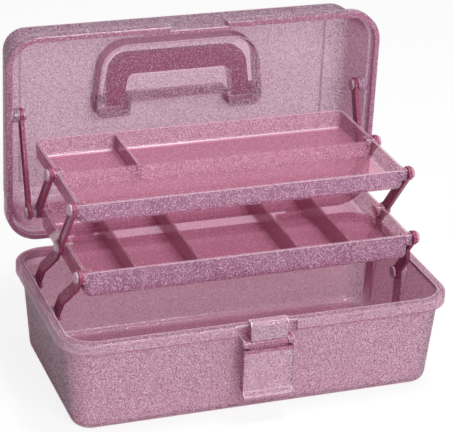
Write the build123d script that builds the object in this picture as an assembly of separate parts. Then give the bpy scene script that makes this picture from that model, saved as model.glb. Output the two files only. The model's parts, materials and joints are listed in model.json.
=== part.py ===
from build123d import *
import os
from math import atan, atan2, cos, degrees, hypot, radians, sin, tan

# Storage box with a hinged lid and two cantilever trays, drawn open
# Millimetres and degrees, origin under the middle of the base, front towards -Y

# Rim that runs round the mouth of the base and of the lid
rim_length = 324.0
rim_depth = 179.0
rim_corner = 28.0
rim_width = 7.0
rim_plate = 2.2
rim_edge = 1.4
skirt_drop = 9.0
skirt_wall = 2.0
rim_gap = 0.5

# Base tub
base_height = 82.0
base_wall = 2.2
base_floor = 2.6
base_draft = 5.0
base_fillet = 9.0

# Lid shell with a thick band round its mouth and a small step inside
lid_depth = 62.0
lid_wall = 2.2
lid_band_depth = 11.0
lid_band_wall = 4.6
lid_step = 2.2
lid_draft = 5.0
lid_fillet = 17.0
crease_width = 1.1
crease_depth = 0.5
lid_open_angle = 89.0

# Lid hinges
hinge_back = 4.2
hinge_drop = 1.0
hinge_spread = 190.0
hinge_radius = 3.4
hinge_pin_radius = 1.8
lid_knuckle = 16.0
base_knuckle = 10.0
knuckle_gap = 0.4

# Trays
tray_side_room = 25.9
tray_depth_room = 42.2
tray_corner = 7.0
tray_draft = 3.0
tray_fillet = 4.5
tray_wall = 2.0
tray_floor = 2.0
lower_tray_height = 22.0
upper_tray_height = 17.3
divider_wall = 2.0
divider_drop = 1.6
cross_shares = (-0.345, -0.154, 0.151, 0.314)
long_divider_shift = 1.4
cross_divider_wall = 1.6
guide_rib = 1.2
guide_reach = 1.8
divider_clearance = 0.25

# Linkage
arm_pivot_drop = 14.6
rear_pivot_forward = 40.5
rear_pitch = 68.0
lower_arm_length = 66.5
upper_arm_length = 63.0
arm_lean_angle = 39.0
arm_width = 9.0
arm_eye = 5.8
arm_wall = 3.0
arm_groove = 0.9
arm_rail = 1.7
jog_start = 29.0
jog_run = 22.0
pivot_setback = 3.0
rear_setback = 7.8
pivot_drop = 4.0
lid_pivot_forward = 112.8
lid_pivot_rise = 12.5
link_slack = 1.6
link_eye_back = 0.7
link_eye_up = 1.0

# Layers of the linkage, from the tray side outwards
tray_pad = 1.3
side_gap = 0.5
head_gap = 0.3
lower_layer_shift = 7.5
bracket_width = 14.0
bracket_bore = 3.9

# Pivot pins
pin_radius = 2.2
pin_head_radius = 4.8
pin_head = 2.6
slim_head = 2.0
head_lap = 1.0
tray_pin_bite = 5.0
tray_boss = 7.0
running_clearance = 0.05

# Handle and its pocket in the lid
handle_end_width = 132.0
handle_reach = 47.1
handle_bar = 18.0
handle_thick = 12.0
leg_splay = 7.0
leg_end_width = 17.5
leg_top_width = 15.0
leg_end_forward = 1.5
handle_round = 3.0
handle_sink = 1.5
handle_pin_radius = 2.4
handle_collar = 5.4
handle_pin_bite = 16.0
pocket_margin = 7.0
pocket_front_gap = 9.0
pocket_depth = 16.0
pocket_end_gap = 4.0
pocket_leg_gap = 0.7
pocket_end_round = 8.0
pocket_leg_round = 4.0
pocket_finger_round = 3.0
finger_forward = 9.3

# Latch
latch_pivot_drop = 14.5
latch_stand_off = 2.8
latch_pin_radius = 1.6
latch_barrel = 3.2
latch_ear = 5.0
ear_gap = 0.4
tongue_width = 31.0
tongue_outer = 3.2
tongue_inner = 1.3
tongue_low = 3.0
tongue_reach = 17.0
hook_wall = 2.0
hook_reach = 5.4
tab_wall = 2.6
tab_width = 41.0
tab_height = 46.0
tab_top_gap = 4.5
tab_proud = 3.2
tab_flange = 5.0
tab_flange_wall = 2.2
tab_lip = 3.0
latch_notch = 50.0
notch_depth = 1.5
catch_depth = 3.4
catch_plate = 0.8
catch_wall = 1.5
catch_lug = 5.0
catch_slot = 5.5
catch_shoulder = 10.5

# How far a cutting shape runs past the face it cuts
cut_over = 1.0


# Rounded shapes shared by the mouldings

def drafted_block(length, depth, corner, height, draft, edge):
    """Block that stands mouth down and narrows to a rounded closed end."""
    block = extrude(RectangleRounded(length, depth, corner), height, taper=draft)
    closed_end = block.faces().sort_by(Axis.Z)[-1]
    return fillet(closed_end.edges(), edge)


def rim_band():
    """Flat rim with a skirt turned away from the mouth, as one filled slab with a groove."""
    band = extrude(RectangleRounded(rim_length, rim_depth, rim_corner), skirt_drop)
    band = fillet(band.faces().sort_by(Axis.Z)[0].edges(), rim_edge)
    groove = RectangleRounded(
        rim_length - 2 * skirt_wall, rim_depth - 2 * skirt_wall, rim_corner - skirt_wall
    )
    return band - Pos(0, 0, rim_plate) * extrude(groove, skirt_drop)


def lid_band():
    """Solid band round the lid's mouth, rounded along both outer edges."""
    band = extrude(RectangleRounded(rim_length, rim_depth, rim_corner), lid_band_depth)
    ends = band.faces().sort_by(Axis.Z)
    return fillet(ends[0].edges() + ends[-1].edges(), rim_edge)


def shell_blocks(height, wall, end_wall, draft, edge, inset):
    """Outside and inside of a shell, mouth down at z = 0, its inside set in from the rim's edge by inset."""
    overhang = inset - wall
    outside = drafted_block(
        rim_length - 2 * overhang, rim_depth - 2 * overhang, rim_corner - overhang, height, draft, edge
    )
    inside = drafted_block(
        rim_length - 2 * inset,
        rim_depth - 2 * inset,
        rim_corner - inset,
        height - end_wall,
        draft,
        edge - wall,
    )
    return outside, inside


def block_between(x_range, y_range, z_range):
    """Box from its low and high corner along each axis."""
    size = [high - low for low, high in (x_range, y_range, z_range)]
    middle = [(high + low) / 2 for low, high in (x_range, y_range, z_range)]
    return Pos(*middle) * Box(*size)


def rod(radius, x_start, x_end, y, z):
    """Round bar along X."""
    return Pos((x_start + x_end) / 2, y, z) * Rot(0, 90, 0) * Cylinder(radius, abs(x_end - x_start))


def side_slab(profile, x_start, x_end):
    """Profile drawn in Y and Z, run along X."""
    return Pos(x_start, 0, 0) * extrude(Plane.YZ * profile, x_end - x_start)


def both_sides(shape):
    """Right-hand piece and its mirror image on the left."""
    return shape, mirror(shape, Plane.YZ)


def step_along(start, angle, length):
    """Point at a distance along an arm that leans forward of upright by angle."""
    return start[0] - length * sin(radians(angle)), start[1] + length * cos(radians(angle))


# Places worked out from the sizes

half_depth = rim_depth / 2
tray_length = rim_length - 2 * tray_side_room
tray_depth = rim_depth - tray_depth_room
hinge_y = half_depth + hinge_back
hinge_z = base_height - hinge_drop
lid_mouth = base_height + rim_gap
lid_top = lid_mouth + lid_depth

front_pitch = tray_depth - pivot_setback - rear_pitch - rear_setback
arm_pivot_height = base_height - arm_pivot_drop
base_rear_pivot = (hinge_y - rear_pivot_forward, arm_pivot_height)
base_front_pivot = (base_rear_pivot[0] - front_pitch, arm_pivot_height)
lower_front_pivot = step_along(base_front_pivot, arm_lean_angle, lower_arm_length)
lower_mid_pivot = step_along(base_rear_pivot, arm_lean_angle, lower_arm_length)
lower_rear_pivot = (lower_mid_pivot[0] + rear_pitch, lower_mid_pivot[1])
upper_front_pivot = step_along(lower_mid_pivot, arm_lean_angle, upper_arm_length)
upper_rear_pivot = (upper_front_pivot[0] + rear_pitch, upper_front_pivot[1])
lower_tray_front = lower_front_pivot[0] - pivot_setback
lower_tray_top = lower_front_pivot[1] + pivot_drop
upper_tray_front = upper_front_pivot[0] - pivot_setback
upper_tray_top = upper_front_pivot[1] + pivot_drop

pad_face = tray_length / 2 + tray_pad
arm_inner = pad_face + side_gap
arm_outer = arm_inner + arm_wall
low_inner = arm_inner + lower_layer_shift
low_outer = low_inner + arm_wall
bracket_face = low_outer + side_gap
eye_bore = pin_radius + running_clearance
link_eye_bore = pin_radius + link_slack
link_eye = link_eye_bore + arm_eye - pin_radius

cross_divider_x = tray_wall / 2 - tray_length / 4
long_divider_y = -long_divider_shift
long_divider_back = long_divider_y + divider_wall / 2

knuckle_end = lid_knuckle / 2 + knuckle_gap + base_knuckle
base_hinge_spans = [(knuckle_end - base_knuckle, knuckle_end), (-knuckle_end, base_knuckle - knuckle_end)]
lid_inset = lid_band_wall + lid_step
panel_draft = (lid_depth - lid_wall) * tan(radians(lid_draft))
panel_round = (lid_fillet - lid_wall) * tan(radians(90 - lid_draft) / 2)
panel_edge = rim_length / 2 - lid_inset - panel_draft - panel_round
panel_front = half_depth - lid_inset - panel_draft - panel_round
latch_axis_y = half_depth + latch_stand_off
latch_pivot_height = base_height - latch_pivot_drop
ear_radius = latch_barrel + ear_gap

handle_top_width = handle_end_width - 2 * leg_splay
handle_leg_gap = handle_end_width - 2 * leg_end_width
handle_grip_width = handle_top_width - 2 * leg_top_width
handle_leg_end = -leg_end_forward
handle_front = handle_leg_end - handle_reach
handle_pivot_y = handle_leg_end - handle_thick / 2
handle_pivot_z = lid_top - handle_sink - handle_thick / 2
outer_lean = leg_splay / handle_reach
inner_lean = (handle_leg_gap - handle_grip_width) / 2 / (handle_reach - handle_bar)
leg_face = handle_end_width / 2 - outer_lean * (handle_leg_end - handle_pivot_y)
pocket_face = leg_face + pocket_margin


def opened(shape):
    """Turn a piece of the closed lid up about the hinge."""
    return Pos(0, hinge_y, hinge_z) * Rot(-lid_open_angle, 0, 0) * Pos(0, -hinge_y, -hinge_z) * shape


def opened_point(y, z):
    """Where a point of the closed lid lies once the lid is open."""
    turn = radians(lid_open_angle)
    back, up = y - hinge_y, z - hinge_z
    return hinge_y + back * cos(turn) + up * sin(turn), hinge_z - back * sin(turn) + up * cos(turn)


lid_pivot_closed = (hinge_y - lid_pivot_forward, lid_mouth + lid_pivot_rise)
lid_pivot = opened_point(*lid_pivot_closed)
link_foot = (lower_rear_pivot[0] + link_eye_back, lower_rear_pivot[1] + link_eye_up)
link_lean = degrees(atan2(link_foot[0] - lid_pivot[0], lid_pivot[1] - link_foot[1]))
link_length = hypot(lid_pivot[0] - link_foot[0], lid_pivot[1] - link_foot[1])


# Hinge knuckles, one row on each half of the box

def hinge_row(lengths, web_up):
    """Knuckles at both hinges, each with a web to the skirt; lengths are X spans from a hinge's middle."""
    side = 1 if web_up else -1
    eye = Pos(hinge_y, hinge_z) * Circle(hinge_radius)
    root = half_depth - skirt_wall / 2
    mouth = lid_mouth if web_up else base_height
    lean = hinge_radius * sin(radians(45))
    web = make_face(
        Polyline(
            (root, mouth + side * rim_plate),
            (hinge_y, hinge_z),
            (hinge_y + lean, hinge_z + side * lean),
            (root, mouth + side * (skirt_drop - rim_plate)),
            close=True,
        )
    )
    row = None
    for middle in (-hinge_spread / 2, hinge_spread / 2):
        for low, high in lengths:
            piece = side_slab(eye + web, middle + low, middle + high)
            row = piece if row is None else row + piece
    return row


def hinge_bores(radius):
    """Pin holes through both hinges."""
    reach = knuckle_end + knuckle_gap
    return [
        rod(radius, middle - reach, middle + reach, hinge_y, hinge_z)
        for middle in (-hinge_spread / 2, hinge_spread / 2)
    ]


# Front notch where the latch passes both rims

def notch_cuts(mouth, side, depth, plate, drop, wall_line):
    """Cuts that leave a plate at the mouth and the wall behind it; side is +1 on the lid, -1 on the base."""
    half = latch_notch / 2
    notch_line = half_depth - depth
    far = half_depth + rim_width
    start = mouth - side * cut_over
    end = mouth + side * (drop + cut_over)
    return [
        block_between((-half, half), (-far, -notch_line), sorted((start, end))),
        block_between((-half, half), (-far, -wall_line), sorted((mouth + side * plate, end))),
    ]


# Base tub with arm brackets, latch ears and hinge knuckles

def make_base():
    outside, inside = shell_blocks(base_height, base_wall, base_floor, base_draft, base_fillet, rim_width)
    stand = Pos(0, 0, base_height) * Rot(180, 0, 0)
    outside, inside, rim = stand * outside, stand * inside, stand * rim_band()
    tub = outside + rim
    wall_line = half_depth - rim_width + base_wall + ear_gap
    for cut in notch_cuts(base_height, -1, notch_depth, rim_plate, skirt_drop, wall_line):
        tub -= cut
    ears_profile = Pos(-latch_axis_y, latch_pivot_height) * Circle(ear_radius)
    ears_profile += Pos(-latch_axis_y / 2, latch_pivot_height) * Rectangle(latch_axis_y, 2 * ear_radius)
    ear_inner = tongue_width / 2 + ear_gap
    for ear in both_sides(side_slab(ears_profile, ear_inner, ear_inner + latch_ear)):
        tub += ear
    tub += hinge_row(base_hinge_spans, False)
    tub -= inside
    foot = base_floor / 2
    for y, z in (base_front_pivot, base_rear_pivot):
        post = Pos(y, (z + foot) / 2) * Rectangle(bracket_width, z - foot)
        post += Pos(y, z) * Circle(bracket_width / 2)
        for piece in both_sides(side_slab(post, bracket_face, rim_length / 2) & outside):
            tub += piece
        for bore in both_sides(rod(pin_radius, 0, bracket_face + bracket_bore, y, z)):
            tub -= bore
    for bore in hinge_bores(hinge_pin_radius):
        tub -= bore
    return tub - make_latch_pin()


# Lid shell, drawn closed and then opened

def splayed_line(front_width, back_width, front, back):
    """Front edge of the handle and its two splayed legs, as one open line."""
    front_half, back_half = front_width / 2, back_width / 2
    return [(-back_half, back), (-front_half, front), (front_half, front), (back_half, back)]


def rounded_outline(points, radii):
    """Closed outline with its own radius at each corner."""
    face = make_face(Polyline(*points, close=True))
    for point, radius in zip(points, radii):
        corner = min(face.vertices(), key=lambda vertex: hypot(vertex.X - point[0], vertex.Y - point[1]))
        face = fillet(corner, radius)
    return face


def pocket_outline(grow):
    """Arch of the handle pocket, larger all round by grow."""
    top = handle_top_width / 2 + pocket_margin + grow
    end = handle_end_width / 2 + pocket_margin + grow
    front = handle_front - pocket_front_gap - grow
    back = handle_leg_end + pocket_end_gap + grow
    leg = handle_leg_gap / 2 - inner_lean * (handle_sink + handle_thick) - pocket_leg_gap - grow
    finger = handle_leg_end - finger_forward + grow
    points = [(-end, back), (-top, front), (top, front), (end, back), (leg, back), (leg, finger)]
    points += [(-leg, finger), (-leg, back)]
    half_radii = [pocket_end_round, handle_bar + pocket_margin]
    inner_radii = [pocket_leg_round, pocket_finger_round]
    return rounded_outline(points, half_radii + half_radii[::-1] + inner_radii + inner_radii[::-1])


def catch_pads():
    """Blocks that fill the step inside the mouth behind the latch notch and at a lug left of it."""
    shoulder = -latch_notch / 2 - catch_shoulder
    lug = shoulder - catch_slot
    inner = half_depth - lid_inset - lid_wall
    spans = ((lug - catch_lug, lug), (shoulder, latch_notch / 2 + catch_wall))
    return [block_between(span, (-half_depth, -inner), (0, lid_band_depth)) for span in spans]


def make_lid():
    outside, inside = shell_blocks(lid_depth, lid_wall, lid_wall, lid_draft, lid_fillet, lid_inset)
    stand = Pos(0, 0, lid_mouth)
    outside, inside, band = stand * outside, stand * inside, stand * lid_band()
    recess = extrude(
        RectangleRounded(
            rim_length - 2 * lid_band_wall, rim_depth - 2 * lid_band_wall, rim_corner - lid_band_wall
        ),
        lid_band_depth - lid_step,
    )
    for pad in catch_pads():
        recess -= pad
    inside += stand * recess
    lid = outside + band
    wall_line = half_depth - lid_inset + catch_wall
    for cut in notch_cuts(lid_mouth, 1, catch_depth, catch_plate, lid_band_depth, wall_line):
        lid -= cut
    lid += hinge_row([(-lid_knuckle / 2, lid_knuckle / 2)], True)
    lid -= inside
    panel = lid_top - lid_wall
    crease_span = (panel_edge - crease_width, panel_edge)
    crease = block_between(crease_span, (-panel_front, panel_front), (panel - cut_over, panel + crease_depth))
    for piece in both_sides(crease):
        lid -= piece
    bump_low = lid_top - pocket_depth - lid_wall
    lid += Pos(0, 0, bump_low) * extrude(pocket_outline(lid_wall), lid_top - lid_wall / 2 - bump_low)
    lid -= Pos(0, 0, lid_top - pocket_depth) * extrude(pocket_outline(0), pocket_depth + cut_over)
    collar_start = handle_end_width / 2 + side_gap
    collar = rod(handle_collar, collar_start, pocket_face + lid_wall, handle_pivot_y, handle_pivot_z)
    boss = rod(arm_eye, bracket_face, rim_length / 2, *lid_pivot_closed) & outside
    for piece in both_sides(collar) + both_sides(boss):
        lid += piece
    bore = rod(pin_radius, bracket_face - side_gap, bracket_face + bracket_bore, *lid_pivot_closed)
    for piece in both_sides(bore) + make_handle_pins():
        lid -= piece
    for bore in hinge_bores(hinge_pin_radius + running_clearance):
        lid -= bore
    return lid


# Carrying handle, folded into the pocket

def make_handle():
    outer = splayed_line(handle_top_width, handle_end_width, handle_front, handle_leg_end)
    inner = splayed_line(handle_grip_width, handle_leg_gap, handle_front + handle_bar, handle_leg_end)
    tip = handle_thick / 3
    grip = 2 * handle_round
    outline = rounded_outline(outer + inner[::-1], [tip, handle_bar, handle_bar, tip, tip, grip, grip, tip])
    bail = extrude(outline, handle_thick)
    flats = bail.faces().sort_by(Axis.Z)
    bail = fillet(flats[0].edges() + flats[-1].edges(), handle_round)
    bail = Pos(0, 0, handle_pivot_z - handle_thick / 2) * bail
    end_round = Pos(handle_pivot_y, handle_pivot_z) * Circle(handle_thick / 2)
    leg_middle = handle_pivot_y - handle_reach / 2
    end_round += Pos(leg_middle, handle_pivot_z) * Rectangle(handle_reach, handle_thick)
    bail = bail & side_slab(end_round, -rim_length / 2, rim_length / 2)
    bore_radius = handle_pin_radius + running_clearance
    bore = rod(bore_radius, leg_face - handle_pin_bite, rim_length, handle_pivot_y, handle_pivot_z)
    for hole in both_sides(bore):
        bail -= hole
    return bail


def make_handle_pins():
    start = leg_face - handle_pin_bite + side_gap
    return both_sides(rod(handle_pin_radius, start, pocket_face, handle_pivot_y, handle_pivot_z))


# Latch, a rocker with a hook above its pin and a finger tab below

def make_latch():
    y, z = -latch_axis_y, latch_pivot_height
    outer = y - tongue_outer
    inner = y + tongue_inner
    hook_low = z + tongue_reach
    hook_high = hook_low + hook_wall
    tongue = make_face(
        Polyline(
            (outer, z + tongue_low),
            (inner, z),
            (inner, hook_low),
            (y + hook_reach, hook_low),
            (y + hook_reach - hook_wall / 2, hook_high),
            (outer, hook_high),
            close=True,
        )
    )
    top_corner = min(tongue.vertices(), key=lambda vertex: hypot(vertex.X - outer, vertex.Y - hook_high))
    tongue = fillet(top_corner, tongue_outer + tongue_inner)
    tab_top = z - tab_top_gap
    tab_low = z - tab_height
    tab_out = y - tab_proud
    tab_in = tab_out + tab_wall
    lip_out = tab_out - tab_lip
    neck_length = z - tab_top + tab_wall
    neck = Pos(y, z - neck_length / 2) * Rectangle(2 * tongue_inner, neck_length)
    tab = make_face(
        Polyline(
            (tab_out, tab_top),
            (inner, tab_top),
            (inner, tab_top - tab_wall),
            (tab_in, tab_top - 2 * tab_wall),
            (tab_in, tab_low + tab_lip),
            (lip_out + tab_wall, tab_low),
            (lip_out, tab_low),
            (lip_out, tab_low + tab_wall),
            (tab_out, tab_low + tab_wall + tab_lip),
            close=True,
        )
    )
    flange = make_face(
        Polyline(
            (tab_in - tab_wall / 2, tab_top),
            (tab_in + tab_flange, tab_top),
            (tab_in + tab_flange, tab_low + 2 * tab_lip),
            (tab_in - tab_wall / 2, tab_low + tab_lip),
            close=True,
        )
    )
    barrel = Pos(y, z) * Circle(latch_barrel)
    half = tongue_width / 2
    latch = side_slab(tongue + barrel + neck, -half, half) + side_slab(tab, -tab_width / 2, tab_width / 2)
    for side in both_sides(side_slab(flange, tab_width / 2 - tab_flange_wall, tab_width / 2)):
        latch += side
    return latch - rod(latch_pin_radius + running_clearance, -tab_width, tab_width, y, z)


def make_latch_pin():
    reach = tongue_width / 2 + ear_gap + latch_ear
    return rod(latch_pin_radius, -reach, reach, -latch_axis_y, latch_pivot_height)


# Trays, drawn with the mouth at z = 0 and the middle at the origin

def tray_blocks(height):
    outside = drafted_block(tray_length, tray_depth, tray_corner, height, tray_draft, tray_fillet)
    inside = drafted_block(
        tray_length - 2 * tray_wall,
        tray_depth - 2 * tray_wall,
        tray_corner - tray_wall,
        height - tray_floor,
        tray_draft,
        tray_fillet - tray_wall,
    )
    turn = Rot(180, 0, 0)
    return turn * outside, turn * inside


def placed_tray(tray, front, top):
    return Pos(0, front + tray_depth / 2, top) * tray


def pivot_pads(tray, front, top, pivots):
    """Round pads on the end walls that the pins pass through, trimmed to the tray's outline."""
    low = top - pivot_drop - 2 * arm_eye
    room = block_between((-pad_face, pad_face), (front, front + tray_depth), (low, top))
    for y, z in pivots:
        for piece in both_sides(rod(arm_eye, pad_face - tray_boss, pad_face, y, z) & room):
            tray += piece
    for y, z in pivots:
        for bore in both_sides(rod(pin_radius, pad_face - tray_pin_bite, pad_face + cut_over, y, z)):
            tray -= bore
    return tray


def make_lower_tray():
    outside, inside = tray_blocks(lower_tray_height)
    tray = outside - inside
    for share in cross_shares:
        place = share * tray_length
        wall = block_between(
            (place - divider_wall / 2, place + divider_wall / 2),
            (-tray_depth / 2, tray_depth / 2),
            (-lower_tray_height, -divider_drop),
        )
        tray += wall & outside
    tray = placed_tray(tray, lower_tray_front, lower_tray_top)
    pivots = (lower_front_pivot, lower_mid_pivot, lower_rear_pivot)
    return pivot_pads(tray, lower_tray_front, lower_tray_top, pivots)


def make_upper_tray():
    outside, inside = tray_blocks(upper_tray_height)
    tray = outside - inside
    wall = block_between(
        (-tray_length / 2, tray_length / 2),
        (long_divider_y - divider_wall / 2, long_divider_back),
        (-upper_tray_height, -divider_drop),
    )
    tray += wall & outside
    half_slot = cross_divider_wall / 2 + divider_clearance
    for low in (cross_divider_x - half_slot - guide_rib, cross_divider_x + half_slot):
        for y_range in (
            (long_divider_back - guide_rib, long_divider_back + guide_reach),
            (tray_depth / 2 - tray_wall - guide_reach - guide_rib, tray_depth / 2),
        ):
            rib = block_between((low, low + guide_rib), y_range, (-upper_tray_height, -2 * divider_drop))
            tray += rib & outside
    tray = placed_tray(tray, upper_tray_front, upper_tray_top)
    return pivot_pads(tray, upper_tray_front, upper_tray_top, (upper_front_pivot, upper_rear_pivot))


def make_cross_divider():
    """Loose divider that drops between the guide ribs of the upper tray's back row."""
    room = Rot(180, 0, 0) * drafted_block(
        tray_length - 2 * tray_wall - 2 * divider_clearance,
        tray_depth - 2 * tray_wall - 2 * divider_clearance,
        tray_corner - tray_wall,
        upper_tray_height - tray_floor,
        tray_draft,
        tray_fillet - tray_wall,
    )
    half = cross_divider_wall / 2
    plate = block_between(
        (cross_divider_x - half, cross_divider_x + half),
        (long_divider_back + divider_clearance, tray_depth / 2),
        (-upper_tray_height, -divider_drop),
    )
    return placed_tray(plate & room, upper_tray_front, upper_tray_top)


# Arms and links of the right-hand side, drawn upright at the origin

def arm_outline(pivots, eye):
    """Bar with a round eye at each pivot height."""
    low, high = pivots[0], pivots[-1]
    face = Pos(0, (low + high) / 2) * Rectangle(arm_width, high - low)
    for height in pivots:
        face += Pos(0, height) * Circle(eye)
    return face


def groove_outline(pivots, eye):
    """Shallow panel between two eyes."""
    low, high = pivots
    length = high - low - 2 * eye - 2 * arm_rail
    return Pos(0, (low + high) / 2) * Rot(0, 0, 90) * SlotOverall(length, arm_width - 2 * arm_rail)


def swung(arm, start, lean):
    """Lean an upright arm forward about its low pivot and carry it there."""
    return Pos(0, *start) * Rot(lean, 0, 0) * arm


def flat_arm(pivots, inner):
    arm = side_slab(arm_outline(pivots, arm_eye), inner, inner + arm_wall)
    for low, high in zip(pivots, pivots[1:]):
        groove = groove_outline((low, high), arm_eye)
        arm -= side_slab(groove, inner + arm_wall - arm_groove, inner + arm_wall + cut_over)
    return arm


def jogged_arm(pivots):
    """Arm that steps inwards above its low pivot, from the wall layer to the tray layer."""
    reach = arm_eye + cut_over
    end = pivots[-1] + reach
    foot = pivots[0] - reach
    bend = arm_wall * tan(atan(lower_layer_shift / jog_run) / 2)
    jog_end = jog_start + jog_run
    strip = make_face(
        Polyline(
            (low_inner, foot),
            (low_inner, jog_start - bend),
            (arm_inner, jog_end - bend),
            (arm_inner, end),
            (arm_outer, end),
            (arm_outer, jog_end),
            (low_outer, jog_start),
            (low_outer, foot),
            close=True,
        )
    )
    band = Pos(0, reach, 0) * extrude(Plane.XZ * strip, 2 * reach)
    arm = band & side_slab(arm_outline(pivots, arm_eye), arm_inner - cut_over, low_outer + cut_over)
    if len(pivots) > 2:
        groove = groove_outline(pivots[1:], arm_eye)
        arm -= side_slab(groove, arm_outer - arm_groove, arm_outer + cut_over)
    return arm


def with_eyes(arm, pivots, radius):
    for height in pivots:
        arm -= rod(radius, 0, rim_length, 0, height)
    return arm


def make_front_arm():
    pivots = (0, lower_arm_length)
    return swung(with_eyes(jogged_arm(pivots), pivots, eye_bore), base_front_pivot, arm_lean_angle)


def make_middle_arm():
    pivots = (0, lower_arm_length, lower_arm_length + upper_arm_length)
    return swung(with_eyes(jogged_arm(pivots), pivots, eye_bore), base_rear_pivot, arm_lean_angle)


def make_rear_arm():
    pivots = (0, upper_arm_length)
    return swung(with_eyes(flat_arm(pivots, arm_inner), pivots, eye_bore), lower_rear_pivot, arm_lean_angle)


def make_lid_link():
    """Link from the lid to the lower tray's rear pin, with an oversize eye at the pin."""
    pivots = (0, link_length)
    link = flat_arm(pivots, low_inner) + side_slab(Circle(link_eye), low_inner, low_outer)
    link -= rod(link_eye_bore, 0, rim_length, 0, 0)
    link -= rod(eye_bore, 0, rim_length, 0, link_length)
    return swung(link, link_foot, link_lean)


# Pins of the linkage

def headed_pin(x_head, x_shank, x_tail, pivot):
    """Pin with its head between x_head and x_shank and its plain end at x_tail."""
    y, z = pivot
    return rod(pin_head_radius, x_head, x_shank, y, z) + rod(pin_radius, x_shank, x_tail, y, z)


def tray_pin(pivot):
    """Knob-headed rivet pressed into a tray pad to hold an arm."""
    y, z = pivot
    knob = arm_outer + head_gap
    pin = rod(pin_head_radius, knob, knob + pin_head, y, z)
    pin = fillet(pin.edges().sort_by(Axis.X)[-1], pin_head / 2)
    return pin + rod(pin_radius, pad_face - tray_pin_bite, knob, y, z)


def rear_pin(pivot):
    """Long pin through the rear arm, a collar and the lid link."""
    y, z = pivot
    outer_head = low_outer + head_gap
    pin = tray_pin(pivot) + rod(pin_radius, arm_outer, outer_head, y, z)
    pin += rod(pin_head_radius, arm_outer + head_gap, low_inner - head_gap, y, z)
    return pin + rod(link_eye_bore + head_lap, outer_head, outer_head + slim_head, y, z)


def pin_group(pins):
    return Compound([piece for pin in pins for piece in both_sides(pin)])


def wall_pin(pivot):
    """Pin pressed into a bracket or boss, with its head on the inner side."""
    shank = low_inner - head_gap
    return headed_pin(shank - slim_head, shank, bracket_face + bracket_bore, pivot)


def make_lid_pins():
    return Compound([opened(piece) for piece in both_sides(wall_pin(lid_pivot_closed))])


# Every piece under its own name

right_left = {
    "front_arm": make_front_arm(),
    "middle_arm": make_middle_arm(),
    "rear_arm": make_rear_arm(),
    "lid_link": make_lid_link(),
}
pieces = {
    "base_tub": make_base(),
    "lid_shell": opened(make_lid()),
    "hinge_pins": Compound(hinge_bores(hinge_pin_radius)),
    "handle": opened(make_handle()),
    "handle_pins": Compound([opened(pin) for pin in make_handle_pins()]),
    "latch": make_latch(),
    "latch_pin": make_latch_pin(),
    "lower_tray": make_lower_tray(),
    "upper_tray": make_upper_tray(),
    "cross_divider": make_cross_divider(),
    "base_front_pins": pin_group([wall_pin(base_front_pivot)]),
    "base_rear_pins": pin_group([wall_pin(base_rear_pivot)]),
    "lower_tray_front_pins": pin_group([tray_pin(lower_front_pivot)]),
    "lower_tray_middle_pins": pin_group([tray_pin(lower_mid_pivot)]),
    "lower_tray_rear_pins": pin_group([rear_pin(lower_rear_pivot)]),
    "upper_tray_front_pins": pin_group([tray_pin(upper_front_pivot)]),
    "upper_tray_rear_pins": pin_group([tray_pin(upper_rear_pivot)]),
    "lid_link_pins": make_lid_pins(),
}
for name, shape in right_left.items():
    pieces[name + "_right"] = shape
    pieces[name + "_left"] = mirror(shape, Plane.YZ)

os.makedirs("parts", exist_ok=True)
for name, shape in pieces.items():
    export_step(shape, os.path.join("parts", name + ".step"))

# Where the joints lie
print("lid pivot", lid_pivot, "link length", link_length, "link lean", link_lean)
print("lower tray pivots", lower_front_pivot, lower_mid_pivot, lower_rear_pivot)
print("upper tray pivots", upper_front_pivot, upper_rear_pivot)
print("handle pivot", opened_point(handle_pivot_y, handle_pivot_z))
print("latch axis", -latch_axis_y, latch_pivot_height)
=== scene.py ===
import bpy
import json
import math
from mathutils import Matrix, Vector

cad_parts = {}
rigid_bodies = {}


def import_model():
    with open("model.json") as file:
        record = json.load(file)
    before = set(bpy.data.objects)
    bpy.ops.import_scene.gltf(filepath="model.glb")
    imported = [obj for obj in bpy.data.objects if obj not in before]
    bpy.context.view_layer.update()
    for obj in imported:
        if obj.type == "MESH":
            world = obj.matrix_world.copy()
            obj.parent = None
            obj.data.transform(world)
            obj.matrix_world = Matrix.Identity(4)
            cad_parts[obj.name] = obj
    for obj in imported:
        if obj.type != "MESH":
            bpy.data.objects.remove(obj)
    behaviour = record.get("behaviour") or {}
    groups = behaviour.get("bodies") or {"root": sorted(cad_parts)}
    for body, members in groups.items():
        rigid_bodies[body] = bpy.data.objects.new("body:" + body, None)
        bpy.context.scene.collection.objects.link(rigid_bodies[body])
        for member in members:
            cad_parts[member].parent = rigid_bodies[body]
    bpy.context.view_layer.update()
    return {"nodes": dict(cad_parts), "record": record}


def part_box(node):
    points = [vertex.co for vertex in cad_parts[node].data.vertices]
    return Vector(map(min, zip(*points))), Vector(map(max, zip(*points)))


scene = bpy.context.scene
for leftover in list(bpy.data.objects):  # the cube, lamp and camera of an empty file
    bpy.data.objects.remove(leftover)

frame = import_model()
nodes = frame["nodes"]


# small helpers for the shader trees

nodeGrid = {"columns": 8, "across": 220, "down": 280}  # how nodes lie in the editor
mixSockets = {"FLOAT": (0, 2, 3, 0), "RGBA": (0, 6, 7, 2)}  # factor, two values, result
mmPerMetre = 1000


def addNode(tree, kind, **settings):
    row, column = divmod(len(tree.nodes), nodeGrid["columns"])
    node = tree.nodes.new(kind)
    node.location = (column * nodeGrid["across"], -row * nodeGrid["down"])
    for key, value in settings.items():
        setattr(node, key, value)
    return node


def give(tree, socket, value):  # a number, a colour or the output of another node
    if isinstance(value, bpy.types.NodeSocket):
        tree.links.new(value, socket)
    elif socket.type == "RGBA":
        socket.default_value = (*value, 1)
    else:
        socket.default_value = value


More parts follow.
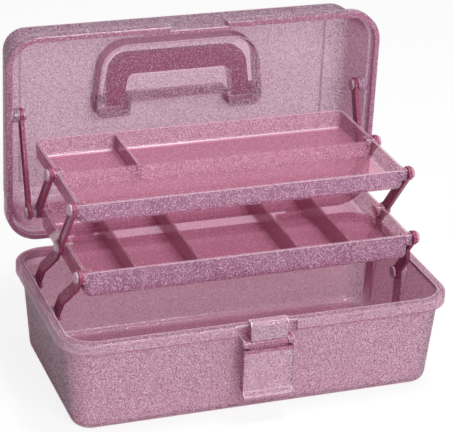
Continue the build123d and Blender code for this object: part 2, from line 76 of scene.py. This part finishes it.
def newGroup(name, inputs, outputs):
    tree = bpy.data.node_groups.new(name, "ShaderNodeTree")
    for label, kind, value in inputs:
        socket = tree.interface.new_socket(
            name=label, in_out="INPUT", socket_type="NodeSocket" + kind)
        if value is not None:
            socket.default_value = value
    for label, kind in outputs:
        tree.interface.new_socket(
            name=label, in_out="OUTPUT", socket_type="NodeSocket" + kind)
    given = addNode(tree, "NodeGroupInput").outputs
    out = addNode(tree, "NodeGroupOutput").inputs
    return tree, given, out


def useGroup(tree, group, values):
    node = addNode(tree, "ShaderNodeGroup", node_tree=group)
    for label, value in values.items():
        give(tree, node.inputs[label], value)
    return node.outputs


def mathNode(tree, operation, *values):
    node = addNode(tree, "ShaderNodeMath", operation=operation)
    for socket, value in zip(node.inputs, values):
        give(tree, socket, value)
    return node.outputs[0]


def times(tree, first, second):
    return mathNode(tree, "MULTIPLY", first, second)


def larger(tree, first, second):
    return mathNode(tree, "MAXIMUM", first, second)


def below(tree, value, limit):
    return mathNode(tree, "LESS_THAN", value, limit)


def above(tree, value, limit):
    return mathNode(tree, "GREATER_THAN", value, limit)


def vectorNode(tree, operation, *values):
    node = addNode(tree, "ShaderNodeVectorMath", operation=operation)
    for socket, value in zip(node.inputs, values):
        give(tree, socket, value)
    return node


def scaled(tree, vector, amount):
    node = vectorNode(tree, "SCALE", vector)
    give(tree, node.inputs["Scale"], amount)
    return node.outputs[0]


def mix(tree, kind, factor, first, second):
    node = addNode(tree, "ShaderNodeMix", data_type=kind)
    *inputs, result = mixSockets[kind]
    for index, value in zip(inputs, (factor, first, second)):
        give(tree, node.inputs[index], value)
    return node.outputs[result]


def mixColour(tree, factor, first, second):
    return mix(tree, "RGBA", factor, first, second)


def mixFloat(tree, factor, first, second):
    return mix(tree, "FLOAT", factor, first, second)


def ramp(tree, value, start, end):  # 0 up to start, 1 from end on, smooth between
    node = addNode(tree, "ShaderNodeMapRange", interpolation_type="SMOOTHSTEP")
    for label, given in (("Value", value), ("From Min", start), ("From Max", end)):
        give(tree, node.inputs[label], given)
    return node.outputs[0]


def axesOf(tree, vector):
    node = addNode(tree, "ShaderNodeSeparateXYZ")
    give(tree, node.inputs[0], vector)
    return node.outputs


def localAxes(tree, normal):  # a normal in the piece's own axes
    local = addNode(tree, "ShaderNodeVectorTransform", vector_type="NORMAL",
                    convert_from="WORLD", convert_to="OBJECT")
    give(tree, local.inputs[0], normal)
    return axesOf(tree, local.outputs[0])


def placeInMm(tree):
    place = addNode(tree, "ShaderNodeTexCoord")
    return scaled(tree, place.outputs["Object"], mmPerMetre)


# glitter: every cell is one flake with its own colour, tilt and cover, in clear plastic

glitterSettings = {
    "dullest": 0.4,  # no flake is fully dull
    "middle": (0.5, 0.5, 0.5),  # of a cell's random colour, so that flakes lean either way
}


def makeGlitter():
    tree, given, out = newGroup(
        "glitter",
        [
            ("Plastic", "Color", (0.8, 0.5, 0.6, 1)),
            ("Silver", "Color", (0.9, 0.85, 0.9, 1)),
            ("Deep", "Color", (0.5, 0.2, 0.3, 1)),
            ("Flakes per mm", "Float", 1.0),
            ("Silver share", "Float", 0.3),
            ("Deep share", "Float", 0.2),
            ("Tilt", "Float", 0.6),
            ("Plastic rough", "Float", 0.2),
            ("Flake rough", "Float", 0.3),
            ("Plastic cover", "Float", 0.2),
            ("Flake cover", "Float", 0.8),
            ("Normal", "Vector", None),
        ],
        [("Color", "Color"), ("Roughness", "Float"), ("Alpha", "Float"), ("Normal", "Vector")],
    )
    cells = addNode(tree, "ShaderNodeTexVoronoi", voronoi_dimensions="3D", feature="F1")
    give(tree, cells.inputs["Vector"], placeInMm(tree))
    give(tree, cells.inputs["Scale"], given["Flakes per mm"])
    dice = addNode(tree, "ShaderNodeSeparateColor")
    give(tree, dice.inputs[0], cells.outputs["Color"])
    kind, luck = dice.outputs[0], dice.outputs[1]

    silverFrom = mathNode(tree, "SUBTRACT", 1.0, given["Silver share"])
    isSilver = above(tree, kind, silverFrom)
    isDeep = below(tree, kind, given["Deep share"])
    dullest = glitterSettings["dullest"]
    shine = mathNode(tree, "MULTIPLY_ADD", luck, 1 - dullest, dullest)
    silverAmount = times(tree, isSilver, shine)
    deepAmount = times(tree, isDeep, shine)
    deepened = mixColour(tree, deepAmount, given["Plastic"], given["Deep"])
    give(tree, out["Color"], mixColour(tree, silverAmount, deepened, given["Silver"]))
    rough = mixFloat(tree, isSilver, given["Plastic rough"], given["Flake rough"])
    give(tree, out["Roughness"], rough)
    isFlake = larger(tree, isSilver, isDeep)
    cover = mixFloat(tree, isFlake, given["Plastic cover"], given["Flake cover"])
    give(tree, out["Alpha"], larger(tree, cover, given["Plastic cover"]))

    centred = vectorNode(tree, "SUBTRACT", cells.outputs["Color"], glitterSettings["middle"])
    lean = times(tree, given["Tilt"], silverAmount)
    leaning = scaled(tree, centred.outputs[0], lean)
    tilted = vectorNode(tree, "ADD", given["Normal"], leaning)
    give(tree, out["Normal"], vectorNode(tree, "NORMALIZE", tilted.outputs[0]).outputs[0])
    return tree


# moulding: slow colour clouds, flow waves in the surface and faint rub marks

mouldingSettings = {
    "cloudDetail": 3, "waveDetail": 2, "waveDistance": 0.001,
    "rubScale": 0.35, "rubDetail": 6, "rubDistortion": 1.5, "rubFrom": 0.55, "rubTo": 0.75,
}


def makeMoulding():
    tree, given, out = newGroup(
        "moulding",
        [("Cloud size", "Float", 30.0), ("Wave size", "Float", 12.0), ("Wave height", "Float", 0.1)],
        [("Cloud", "Float"), ("Rub", "Float"), ("Normal", "Vector")],
    )
    place = placeInMm(tree)

    def noise(scale, detail, distortion=0.0):
        node = addNode(tree, "ShaderNodeTexNoise")
        for label, value in (("Vector", place), ("Scale", scale), ("Detail", detail),
                             ("Distortion", distortion)):
            give(tree, node.inputs[label], value)
        return node.outputs[0]

    settings = mouldingSettings
    cloudScale = mathNode(tree, "DIVIDE", 1.0, given["Cloud size"])
    give(tree, out["Cloud"], noise(cloudScale, settings["cloudDetail"]))
    rub = noise(settings["rubScale"], settings["rubDetail"], settings["rubDistortion"])
    give(tree, out["Rub"], ramp(tree, rub, settings["rubFrom"], settings["rubTo"]))
    waveScale = mathNode(tree, "DIVIDE", 1.0, given["Wave size"])
    bump = addNode(tree, "ShaderNodeBump")
    bump.inputs["Distance"].default_value = settings["waveDistance"]
    give(tree, bump.inputs["Strength"], given["Wave height"])
    give(tree, bump.inputs["Height"], noise(waveScale, settings["waveDetail"]))
    give(tree, out["Normal"], bump.outputs[0])
    return tree


# edges: painted highlight on edges that turn up, pale as if they piped light, and painted shade in
# the deep colour of the plastic on edges that turn down

edgeSettings = {"samples": 4, "upFrom": 0.05, "upTo": 0.5}


def makeEdges():
    tree, given, out = newGroup(
        "edges",
        [("Width", "Float", 0.0012), ("Onset", "Float", 0.01), ("Full", "Float", 0.12)],
        [("Upper", "Float"), ("Lower", "Float")],
    )
    rounded = addNode(tree, "ShaderNodeBevel", samples=edgeSettings["samples"])
    give(tree, rounded.inputs["Radius"], given["Width"])
    surface = addNode(tree, "ShaderNodeNewGeometry")
    alike = vectorNode(tree, "DOT_PRODUCT", rounded.outputs[0], surface.outputs["Normal"])
    turned = mathNode(tree, "SUBTRACT", 1.0, alike.outputs["Value"])
    amount = ramp(tree, turned, given["Onset"], given["Full"])
    axes = localAxes(tree, rounded.outputs[0])
    looksUp = ramp(tree, axes["Z"], edgeSettings["upFrom"], edgeSettings["upTo"])
    # the upper share is the painted highlight, the rest the painted shade
    upper = times(tree, amount, looksUp)
    give(tree, out["Upper"], upper)
    give(tree, out["Lower"], mathNode(tree, "SUBTRACT", amount, upper))
    return tree


# facing: how far a face looks to the front of its piece, to either side, or up

facingSettings = {"frontFrom": -0.2, "frontTo": 0.8, "upFrom": 0.5, "upTo": 0.95}


def makeFacing():
    tree, given, out = newGroup(
        "facing",
        [("Side from", "Float", 0.5), ("Side to", "Float", 0.95)],
        [("Front", "Float"), ("Side", "Float"), ("Up", "Float")],
    )
    settings = facingSettings
    surface = addNode(tree, "ShaderNodeNewGeometry")
    axes = localAxes(tree, surface.outputs["Normal"])
    forward = times(tree, axes["Y"], -1.0)  # the front looks along -Y
    give(tree, out["Front"], ramp(tree, forward, settings["frontFrom"], settings["frontTo"]))
    give(tree, out["Up"], ramp(tree, axes["Z"], settings["upFrom"], settings["upTo"]))
    sideways = mathNode(tree, "ABSOLUTE", axes["X"])
    give(tree, out["Side"], ramp(tree, sideways, given["Side from"], given["Side to"]))
    return tree


glitter = makeGlitter()
moulding = makeMoulding()
edges = makeEdges()
facing = makeFacing()
print("shader groups made")


# the clear plastic that the shells, trays and small parts share

shellLook = {
    "plastic": (0.80, 0.47, 0.62), "cloudPlastic": (0.76, 0.42, 0.58),
    "silver": (0.82, 0.73, 0.82), "deep": (0.48, 0.30, 0.41),  # the two kinds of flake
    # the first colour below is painted shade, also the deep colour of the plastic where it is
    # thickest; the edge colour is painted highlight
    "thick": (0.22, 0.022, 0.09), "edge": (1.0, 0.88, 0.95),  # shaded and bright edges
    "flakesPerMm": 2.6, "silverShare": 0.21, "deepShare": 0.18, "tilt": 0.5,
    # the flakes are real glitter; keeping them to the front faces paints their sparkle where the
    # light falls
    "frontOnly": 0.0,  # how far flakes keep to faces that look to the front
    "silverInShade": 0.15, "deepInGlint": 0.2,  # the flakes left in shaded and bright edges
    "edgeWidth": 0.0016, "edgeAmount": 0.9, "sideShade": 0.05,
    "rough": 0.12, "rubRough": 0.12, "flakeRough": 0.3, "cover": 0.16, "flakeCover": 0.75,
    "ior": 1.46, "specular": 0.5, "coat": 0.3, "coatRough": 0.08,
    "inside": (0.60, 0.13, 0.35), "insideDensity": 340.0,  # thick plastic turns raspberry
}


def newMaterial(name):
    material = bpy.data.materials.new(name)
    material.use_nodes = True
    return material, material.node_tree, material.node_tree.nodes["Principled BSDF"]


def glitterPlastic(name, look, addMarks=None):
    material, tree, shader = newMaterial(name)
    mould = useGroup(tree, moulding, {})
    rims = useGroup(tree, edges, {"Width": look["edgeWidth"]})
    faces = useGroup(tree, facing, {})

    # painted shade on faces that look sideways
    flank = times(tree, faces["Side"], look["sideShade"])
    # flakes kept to faces that look to the front: painted sparkle on the lit faces
    allOver = mixFloat(tree, look["frontOnly"], 1.0, faces["Front"])
    marks = {
        "glint": times(tree, rims["Upper"], look["edgeAmount"]),
        "shade": larger(tree, times(tree, rims["Lower"], look["edgeAmount"]), flank),
        "silver": allOver,
        "deep": allOver,
    }
    if addMarks:
        addMarks(tree, look, faces, marks)

    body = mixColour(tree, mould["Cloud"], look["plastic"], look["cloudPlastic"])
    solid = larger(tree, marks["glint"], marks["shade"])
    # a painted shade colour, where the piece marks one
    if "shadeTone" in marks:
        body = mixColour(tree, marks["shadeTone"], body, look["shadeTone"])
        solid = larger(tree, solid, times(tree, marks["shadeTone"], look["shadeToneCover"]))
    # faces that look up take a painted shade colour where the piece gives one
    if "floor" in look:
        body = mixColour(tree, faces["Up"], body, look["floor"])
        solid = larger(tree, solid, times(tree, faces["Up"], look["floorCover"]))
    # painted shade, then painted highlight, laid into the plastic colour
    body = mixColour(tree, marks["shade"], body, look["thick"])
    body = mixColour(tree, marks["glint"], body, look["edge"])
    inShade = mixFloat(tree, marks["shade"], 1.0, look["silverInShade"])
    silver = times(tree, marks["silver"], inShade)
    inGlint = mixFloat(tree, marks["glint"], 1.0, look["deepInGlint"])
    deep = times(tree, marks["deep"], inGlint)

    flakes = useGroup(tree, glitter, {
        "Plastic": body,
        "Silver": look["silver"],
        "Deep": look["deep"],
        "Flakes per mm": look["flakesPerMm"],
        "Silver share": times(tree, silver, look["silverShare"]),
        "Deep share": times(tree, deep, look["deepShare"]),
        "Tilt": look["tilt"],
        "Plastic rough": mathNode(
            tree, "MULTIPLY_ADD", mould["Rub"], look["rubRough"], look["rough"]),
        "Flake rough": look["flakeRough"],
        "Plastic cover": larger(tree, solid, look["cover"]),
        "Flake cover": look["flakeCover"],
        "Normal": mould["Normal"],
    })
    give(tree, shader.inputs["Base Color"], flakes["Color"])
    for label in ("Roughness", "Alpha", "Normal"):
        give(tree, shader.inputs[label], flakes[label])
    shader.inputs["IOR"].default_value = look["ior"]
    shader.inputs["Specular IOR Level"].default_value = look["specular"]
    shader.inputs["Coat Weight"].default_value = look["coat"]
    shader.inputs["Coat Roughness"].default_value = look["coatRough"]
    inside = addNode(tree, "ShaderNodeVolumeAbsorption")
    give(tree, inside.inputs["Color"], look["inside"])
    inside.inputs["Density"].default_value = look["insideDensity"]
    give(tree, tree.nodes["Material Output"].inputs["Volume"], inside.outputs[0])
    return material


# base tub: painted shade on the latch ears in front, also the deeper colour of their solid plastic,
# and a pinker painted shade on the floor and back wall inside

baseLook = dict(
    shellLook, sideShade=0.0,
    earsBefore=-0.087, earsUnder=0.074, earShade=0.85,
    insideTop=0.07, shadeTone=(0.64, 0.26, 0.38), shadeToneCover=0.32,
)


def baseMarks(tree, look, faces, marks):
    at = axesOf(tree, addNode(tree, "ShaderNodeTexCoord").outputs["Object"])
    # painted shade on the latch ears, also the deeper colour of their solid plastic
    before = below(tree, at["Y"], look["earsBefore"])
    onEar = times(tree, before, below(tree, at["Z"], look["earsUnder"]))
    marks["shade"] = larger(tree, marks["shade"], times(tree, onEar, look["earShade"]))
    # painted shade on the floor and back wall inside the tub
    backWall = times(tree, above(tree, at["Y"], 0.0), faces["Front"])
    inside = below(tree, at["Z"], look["insideTop"])
    marks["shadeTone"] = times(tree, inside, larger(tree, backWall, faces["Up"]))


# lid: painted shade on the end face of the band round its mouth, also the deeper colour of the band's
# heavy plastic; fewer flakes where the handle shows through

lidLook = dict(
    shellLook, plastic=(0.74, 0.47, 0.63), cloudPlastic=(0.70, 0.42, 0.59),
    silver=(0.79, 0.75, 0.85), deep=(0.38, 0.24, 0.36), flakesPerMm=2.0, insideDensity=290.0,
    mouth=0.0965, mouthShade=0.85,
    handleBar=0.018, handleGap=0.046, handleSill=0.005, flakesOverHandle=0.25,
)


def lidMarks(tree, look, faces, marks):
    at = axesOf(tree, addNode(tree, "ShaderNodeTexCoord").outputs["Object"])
    # painted shade on the end face of the band
    endFace = times(tree, below(tree, at["Y"], look["mouth"]), faces["Front"])
    marks["shade"] = larger(tree, marks["shade"], times(tree, endFace, look["mouthShade"]))
    low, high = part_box("handle")
    across = mathNode(tree, "ABSOLUTE", at["X"])
    overFoot = above(tree, at["Z"], low[2])
    underSill = below(tree, at["Z"], high[2] + look["handleSill"])
    inBox = times(tree, below(tree, across, high[0]), times(tree, overFoot, underSill))
    onLeg = above(tree, across, look["handleGap"])
    onBar = above(tree, at["Z"], high[2] - look["handleBar"])
    overHandle = times(tree, inBox, larger(tree, onLeg, onBar))
    clear = mixFloat(tree, overHandle, 1.0, look["flakesOverHandle"])
    marks["silver"] = marks["deep"] = times(tree, marks["silver"], clear)


# trays: painted highlight on the rim and back foot, painted shade as a greyer tone and more dark
# flakes on the front wall, less painted side shade on the pale right end, floors that hide more

trayLook = dict(
    shellLook, plastic=(0.90, 0.54, 0.67), cloudPlastic=(0.86, 0.50, 0.63),
    # the dark flakes here also serve as painted shade on the front walls
    silver=(0.86, 0.72, 0.81), deep=(0.15, 0.04, 0.12), thick=(0.31, 0.04, 0.14),
    flakesPerMm=2.2, silverShare=0.16, deepShare=0.62, frontOnly=0.93,
    # the side shade is painted shade on dividers and end walls
    edgeWidth=0.0012, sideShade=0.65, inside=(0.72, 0.14, 0.40), insideDensity=165.0,
    rimFrom=0.95, rimBlur=0.02, otherEdges=0.25,  # heights as shares of the tray's own
    footFrom=0.2, footTo=0.6, footGlint=0.7,
    frontWall=0.06, deepBehind=0.3, shadeTone=(0.48, 0.23, 0.36), shadeToneCover=0.16,
    rightEnd=0.012, endShade=0.1, endDeep=0.4,  # the end that stands before white
    # the floor colour is a painted shade on faces that look up
    floor=(0.64, 0.31, 0.42), floorCover=0.32,
)


def trayMarks(tree, look, faces, marks):
    place = addNode(tree, "ShaderNodeTexCoord").outputs
    at = axesOf(tree, place["Object"])
    share = axesOf(tree, place["Generated"])
    # painted highlight, whole on the rim, weaker on other edges
    onRim = ramp(tree, share["Z"], look["rimFrom"] - look["rimBlur"], look["rimFrom"])
    glint = times(tree, marks["glint"], mixFloat(tree, onRim, look["otherEdges"], 1.0))
    leaning = times(tree, faces["Front"], faces["Up"])  # the rounded foot of a back wall
    # painted highlight along the rounded foot of a back wall
    foot = ramp(tree, leaning, look["footFrom"], look["footTo"])
    marks["glint"] = larger(tree, glint, times(tree, foot, look["footGlint"]))
    # painted shade on the front wall: a greyer tone and more of the dark flakes
    inFront = below(tree, share["Y"], look["frontWall"])
    deep = times(tree, marks["deep"], mixFloat(tree, inFront, look["deepBehind"], 1.0))
    marks["shadeTone"] = times(tree, inFront, faces["Front"])
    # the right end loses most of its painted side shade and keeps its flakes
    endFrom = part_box("upper_tray")[1][0] - look["rightEnd"]
    inEnd = times(tree, above(tree, at["X"], endFrom), faces["Side"])
    lit = mixFloat(tree, inEnd, 1.0, look["endShade"])
    marks["shade"] = times(tree, marks["shade"], lit)
    marks["silver"] = larger(tree, marks["silver"], inEnd)
    marks["deep"] = larger(tree, deep, times(tree, inEnd, look["endDeep"]))


# latch: painted shade on its sides and in the gap over the finger tab

latchLook = dict(
    shellLook, cover=0.28, edge=(1.0, 0.93, 0.97), edgeWidth=0.002, edgeAmount=1.0,
    # the side shade is painted shade on the latch's sides
    sideShade=0.95, slotFrom=0.0600, slotTo=0.0712, slotShade=0.9,
)


def latchMarks(tree, look, faces, marks):
    at = axesOf(tree, addNode(tree, "ShaderNodeTexCoord").outputs["Object"])
    over = above(tree, at["Z"], look["slotFrom"])
    inSlot = times(tree, over, below(tree, at["Z"], look["slotTo"]))
    # painted shade in the gap, and no painted highlight there
    marks["shade"] = larger(tree, marks["shade"], times(tree, inSlot, look["slotShade"]))
    outside = mathNode(tree, "SUBTRACT", 1.0, inSlot)
    marks["glint"] = times(tree, marks["glint"], outside)


# arms, pivot knobs and handle are deeper in colour and let less through

armLook = dict(
    shellLook, plastic=(0.30, 0.035, 0.10), cloudPlastic=(0.26, 0.03, 0.09),
    edge=(0.46, 0.13, 0.22), silverShare=0.03, deepShare=0.1,
    rough=0.35, coat=0.0, specular=0.25, insideDensity=300.0, cover=0.85,
)
pinLook = dict(
    shellLook, plastic=(0.56, 0.30, 0.39), cloudPlastic=(0.52, 0.27, 0.36),
    edge=(0.86, 0.60, 0.71), edgeAmount=0.55, cover=0.6, sideShade=0.0,
)
handleLook = dict(
    shellLook, plastic=(0.66, 0.15, 0.41), cloudPlastic=(0.61, 0.14, 0.38),
    edge=(0.62, 0.26, 0.41), silverShare=0.10, deepShare=0.1, cover=0.75,
)


# hinge pins and latch pin

steelLook = {"bright": (0.62, 0.62, 0.64), "dull": (0.50, 0.50, 0.52), "rough": 0.28, "rubRough": 0.2}


def wireSteel(name, look):
    material, tree, shader = newMaterial(name)
    mould = useGroup(tree, moulding, {})
    body = mixColour(tree, mould["Cloud"], look["bright"], look["dull"])
    rough = mathNode(tree, "MULTIPLY_ADD", mould["Rub"], look["rubRough"], look["rough"])
    give(tree, shader.inputs["Base Color"], body)
    give(tree, shader.inputs["Roughness"], rough)
    give(tree, shader.inputs["Normal"], mould["Normal"])
    shader.inputs["Metallic"].default_value = 1.0
    return material


slotFinish = {
    "tray_plastic": glitterPlastic("trayGlitter", trayLook, trayMarks),
    "arm_plastic": glitterPlastic("armGlitter", armLook),
    "pin_plastic": glitterPlastic("pinGlitter", pinLook),
    "handle_plastic": glitterPlastic("handleGlitter", handleLook),
    "latch_plastic": glitterPlastic("latchGlitter", latchLook, latchMarks),
    "pin_metal": wireSteel("wireSteel", steelLook),
}
shellFinish = {  # the two shells share a slot and differ in their marks
    "base_tub": glitterPlastic("baseGlitter", baseLook, baseMarks),
    "lid_shell": glitterPlastic("lidGlitter", lidLook, lidMarks),
}
for part in frame["record"]["subparts"]:
    piece = nodes[part["node"]]
    finish = shellFinish.get(part["node"]) or slotFinish[part["material_slot"]]
    piece.data.materials.clear()
    piece.data.materials.append(finish)
print("finishes on:", len(slotFinish) + len(shellFinish))


# floor, lamps and the white surround

stageLook = {
    "floorSize": 30.0, "floorDrop": 0.0003, "floor": (0.9, 0.9, 0.9), "floorRough": 0.9,
    "whiteFloor": 0.85, "whiteSky": 1.0, "fillStrength": 0.40, "mirrorShare": 0.15,
}


def seenShare(tree):  # 1 where the camera looks, straight or through glass, less in mirrors
    path = addNode(tree, "ShaderNodeLightPath").outputs
    mirrored = times(tree, path["Is Glossy Ray"], stageLook["mirrorShare"])
    seen = larger(tree, path["Is Camera Ray"], mirrored)
    return larger(tree, seen, path["Is Transmission Ray"])


half = stageLook["floorSize"] / 2
corners = [(-half, -half, 0), (half, -half, 0), (half, half, 0), (-half, half, 0)]
floorMesh = bpy.data.meshes.new("floor")
floorMesh.from_pydata(corners, [], [(0, 1, 2, 3)])
floor = bpy.data.objects.new("floor", floorMesh)
floor.location.z = -stageLook["floorDrop"]
scene.collection.objects.link(floor)
floorPaint, tree, matte = newMaterial("floorPaint")
give(tree, matte.inputs["Base Color"], stageLook["floor"])
matte.inputs["Roughness"].default_value = stageLook["floorRough"]
glow = addNode(tree, "ShaderNodeEmission")
blend = addNode(tree, "ShaderNodeMixShader")
whiteness = times(tree, seenShare(tree), stageLook["whiteFloor"])
for socket, value in zip(blend.inputs, (whiteness, matte.outputs[0], glow.outputs[0])):
    give(tree, socket, value)
give(tree, tree.nodes["Material Output"].inputs["Surface"], blend.outputs[0])
floorMesh.materials.append(floorPaint)

world = bpy.data.worlds.new("studio")
scene.world = world
world.use_nodes = True
tree = world.node_tree
sky = tree.nodes["Background"]
give(tree, sky.inputs["Color"], (1, 1, 1))
level = mixFloat(tree, seenShare(tree), stageLook["fillStrength"], stageLook["whiteSky"])
give(tree, sky.inputs["Strength"], level)

lamps = {
    "keyBox": {"at": (0.2, -1.5, 1.0), "aim": (0, 0, 0.12), "size": 0.8, "watts": 20},
    "topBox": {"at": (0.3, -0.1, 1.6), "aim": (0, 0, 0.1), "size": 0.4, "watts": 15},
}
for name, look in lamps.items():
    lamp = bpy.data.lights.new(name, "AREA")
    lamp.size = look["size"]
    lamp.energy = look["watts"]
    holder = bpy.data.objects.new(name, lamp)
    holder.location = look["at"]
    holder.rotation_mode = "QUATERNION"
    towards = Vector(look["aim"]) - Vector(look["at"])
    holder.rotation_quaternion = towards.to_track_quat("-Z", "Y")
    scene.collection.objects.link(holder)
print("stage lit by", len(lamps), "soft boxes")


# camera at the photograph's angle

cameraLook = {
    "azimuth": -20.44, "elevation": 24.67, "roll": 2.4, "distance": 1.5999,
    "aim": (-0.00553, -0.00275, 0.13558), "lens": 158.92, "sensor": 36,
    "clearWalls": 32,  # how many clear faces a ray may pass
}
azimuth, elevation, roll = (math.radians(cameraLook[k]) for k in ("azimuth", "elevation", "roll"))
back = Vector((
    math.sin(azimuth) * math.cos(elevation),
    -math.cos(azimuth) * math.cos(elevation),
    math.sin(elevation),
))
right = Vector((0, 0, 1)).cross(back).normalized()
up = back.cross(right)
sideways = right * math.cos(roll) + up * math.sin(roll)
upwards = up * math.cos(roll) - right * math.sin(roll)
turn = Matrix((sideways, upwards, back)).transposed().to_4x4()
spot = Vector(cameraLook["aim"]) + back * cameraLook["distance"]
cameraData = bpy.data.cameras.new("camera")
cameraData.lens = cameraLook["lens"]
cameraData.sensor_width = cameraLook["sensor"]
camera = bpy.data.objects.new("camera", cameraData)
camera.matrix_world = Matrix.Translation(spot) @ turn
scene.collection.objects.link(camera)
scene.camera = camera
scene.view_settings.view_transform = "Standard"
scene.cycles.transparent_max_bounces = cameraLook["clearWalls"]
print("camera set")
